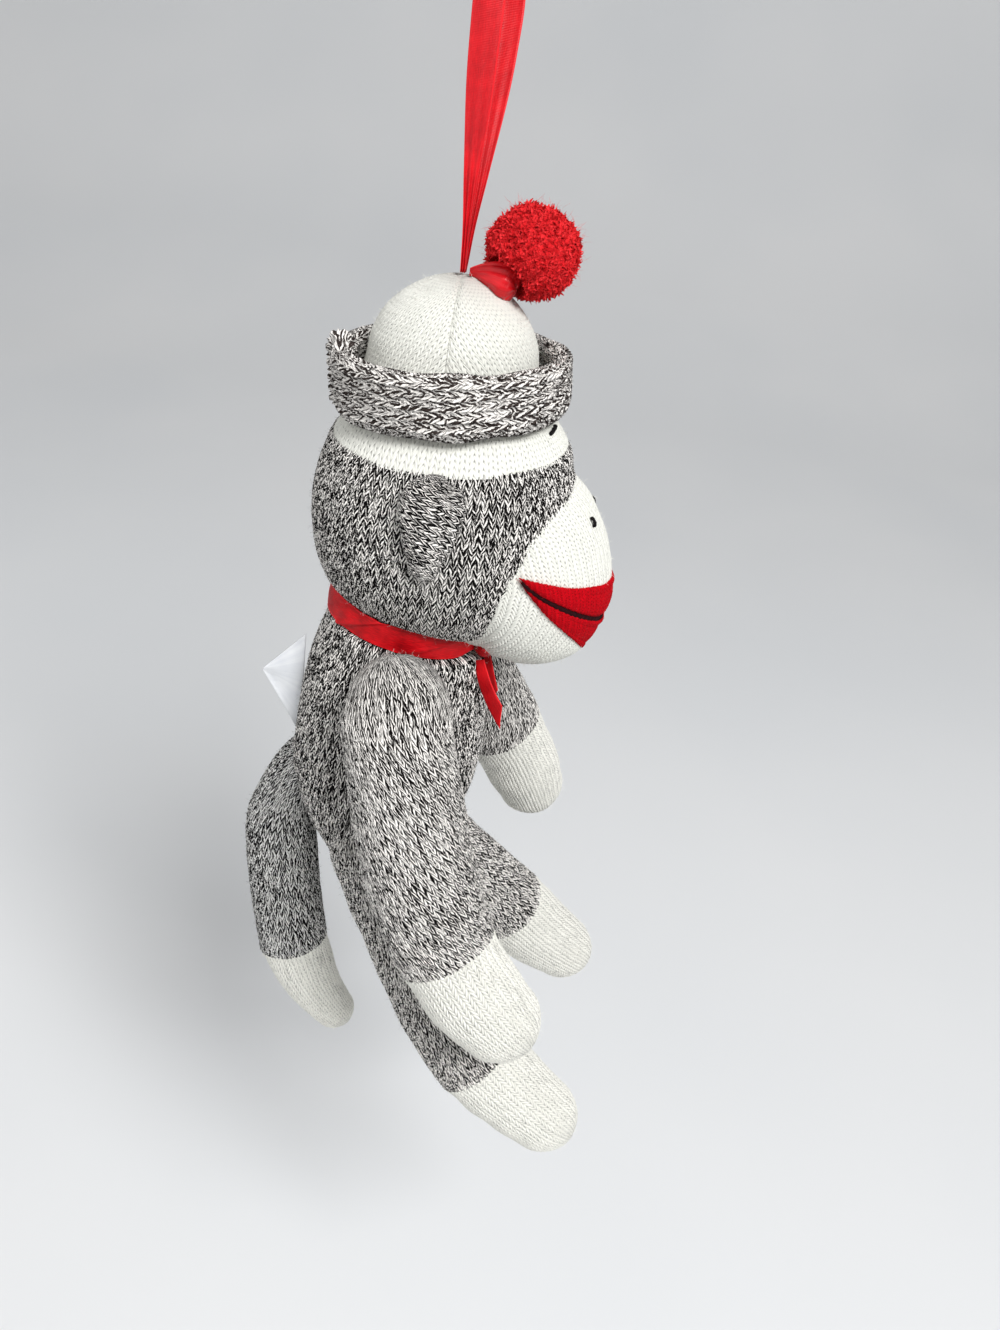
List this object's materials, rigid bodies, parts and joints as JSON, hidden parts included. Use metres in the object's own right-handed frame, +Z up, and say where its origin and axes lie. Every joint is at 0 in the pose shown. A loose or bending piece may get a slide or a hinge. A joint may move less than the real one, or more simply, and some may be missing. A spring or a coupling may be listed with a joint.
{
  "type": "hanging sock monkey doll",
  "caption": "Stuffed knitted monkey doll with pompom hat, jointed arms, legs and tail, hung from a satin ribbon loop.",
  "frame": {"origin": "underside of the ribbon loop's top bend, where a hook carries the doll", "axes": "+Z up along the plumb line, -Y towards the face, +X towards the doll's left side"},
  "size_m": [0.1523, 0.1263, 0.3528],
  "materials": {
    "grey_marl_knit": "grey and cream marl plain knit",
    "white_knit": "off-white plain knit",
    "red_knit": "fine red knit",
    "satin_ribbon": "glossy red satin",
    "pompom_yarn": "cut red wool yarn",
    "black_thread": "black embroidery thread",
    "label_satin": "white satin, bare"
  },
  "bodies": {
    "loop": {"hanging_loop": "satin_ribbon"},
    "head": {"hat_crown": "white_knit", "hat_cuff": "grey_marl_knit", "head_cap": "white_knit", "head": "grey_marl_knit", "muzzle": "white_knit", "upper_lip": "red_knit", "lower_lip": "red_knit", "smile_thread": "black_thread", "eye_right": "black_thread", "eye_left": "black_thread", "nostril_right": "black_thread", "nostril_left": "black_thread", "ear_right": "grey_marl_knit", "ear_left": "grey_marl_knit"},
    "pompom": {"pompom": "pompom_yarn", "pompom_neck": "satin_ribbon"},
    "torso": {"torso": "grey_marl_knit", "collar_ribbon": "satin_ribbon", "collar_knot": "satin_ribbon", "ribbon_end_right": "satin_ribbon", "ribbon_end_left": "satin_ribbon"},
    "label": {"label": "label_satin"},
    "arm_right": {"arm_right": "grey_marl_knit", "paw_right": "white_knit"},
    "arm_left": {"arm_left": "grey_marl_knit", "paw_left": "white_knit"},
    "leg_right": {"leg_right": "grey_marl_knit", "foot_right": "white_knit"},
    "leg_left": {"leg_left": "grey_marl_knit", "foot_left": "white_knit"},
    "tail": {"tail": "grey_marl_knit", "tail_tip": "white_knit"}
  },
  "joints": [
    {"name": "loop_swing", "type": "hinge", "parent": "loop", "child": "head", "pos_m": [0, 0, -0.078], "axis": [0, 1, 0], "range_deg": [-20, 20]},
    {"name": "pompom_sway", "type": "hinge", "parent": "head", "child": "pompom", "pos_m": [0, 0, -0.078], "axis": [0, 0, 1], "range_deg": [-60, 60], "stiffness_Nm_per_rad": 0.002},
    {"name": "neck_turn", "type": "hinge", "parent": "head", "child": "torso", "pos_m": [0, 0.0045, -0.1695], "axis": [0, -0.165, 0.9863], "range_deg": [-25, 25], "stiffness_Nm_per_rad": 0.05},
    {"name": "shoulder_right", "type": "hinge", "parent": "torso", "child": "arm_right", "pos_m": [-0.04109, 0.0015, -0.1905], "axis": [-1, 0, 0], "range_deg": [-30, 80], "stiffness_Nm_per_rad": 0.05},
    {"name": "shoulder_left", "type": "hinge", "parent": "torso", "child": "arm_left", "pos_m": [0.04109, 0.0015, -0.1905], "axis": [-1, 0, 0], "range_deg": [-40, 70], "stiffness_Nm_per_rad": 0.05},
    {"name": "hip_right", "type": "hinge", "parent": "torso", "child": "leg_right", "pos_m": [-0.017, 0.005, -0.25], "axis": [-1, 0, 0], "range_deg": [-20, 45], "stiffness_Nm_per_rad": 0.05},
    {"name": "hip_left", "type": "hinge", "parent": "torso", "child": "leg_left", "pos_m": [0.017, 0.005, -0.25], "axis": [-1, 0, 0], "range_deg": [-30, 40], "stiffness_Nm_per_rad": 0.05},
    {"name": "tail_lift", "type": "hinge", "parent": "torso", "child": "tail", "pos_m": [0, 0.0315, -0.233], "axis": [1, 0, 0], "range_deg": [0, 50], "stiffness_Nm_per_rad": 0.03},
    {"name": "label_flap", "type": "hinge", "parent": "torso", "child": "label", "pos_m": [0, 0.0355, -0.2045], "axis": [0, 0, 1], "range_deg": [-30, 30], "stiffness_Nm_per_rad": 0.0005}
  ]
}
